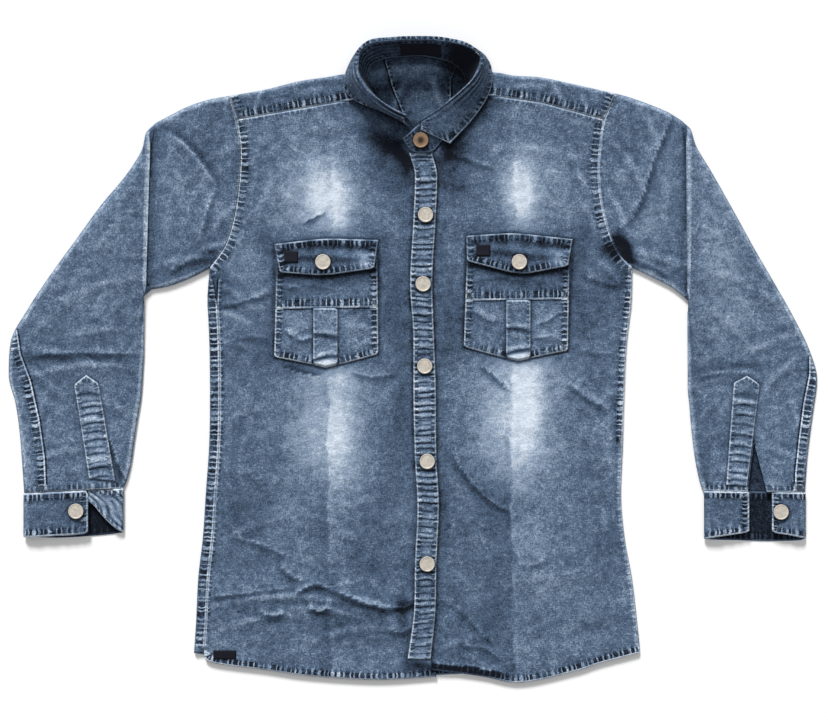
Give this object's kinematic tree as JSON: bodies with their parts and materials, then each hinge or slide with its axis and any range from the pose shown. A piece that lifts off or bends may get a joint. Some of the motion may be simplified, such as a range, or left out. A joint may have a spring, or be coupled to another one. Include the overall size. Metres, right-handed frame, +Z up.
{
  "type": "denim shirt",
  "caption": "Long-sleeved denim shirt laid flat, with a buttoned front, turned-down collar, flap chest pockets and buttoned cuffs",
  "frame": {"origin": "on the surface that the shirt lies on, under the middle of its outline", "axes": "+X runs from the wearer's right cuff to the left one, +Y from the hem to the collar, +Z up from the surface"},
  "size_m": [0.9952, 0.7893, 0.0405],
  "materials": {
    "denim": "washed indigo twill, worn pale at the creases and seams",
    "denim_band": "washed indigo twill, sewn double",
    "plain_patch": "matt black woven tape",
    "pale_metal_cap": "warm matt cap button",
    "bronze_cap": "dark bronze cap button"
  },
  "bodies": {
    "root": {"back": "denim", "yoke": "denim", "front_right": "denim", "front_left": "denim", "collar_stand": "denim", "collar_fall": "denim", "sleeve_right": "denim", "sleeve_left": "denim", "placket": "denim_band", "cuff_right": "denim_band", "cuff_left": "denim_band", "sleeve_placket_right": "denim_band", "sleeve_placket_left": "denim_band", "pocket_right": "denim", "pocket_left": "denim", "pocket_strip_right": "denim_band", "pocket_strip_left": "denim_band", "pocket_flap_right": "denim_band", "pocket_flap_left": "denim_band", "pocket_patch_right": "plain_patch", "pocket_patch_left": "plain_patch", "label_neck": "plain_patch", "label_hem": "plain_patch", "button_neck": "bronze_cap", "button_front_1": "pale_metal_cap", "button_front_2": "pale_metal_cap", "button_front_3": "pale_metal_cap", "button_front_4": "pale_metal_cap", "button_front_5": "pale_metal_cap", "button_pocket_right": "pale_metal_cap", "button_pocket_left": "pale_metal_cap", "button_cuff_right": "pale_metal_cap", "button_cuff_left": "pale_metal_cap"}
  },
  "joints": []
}
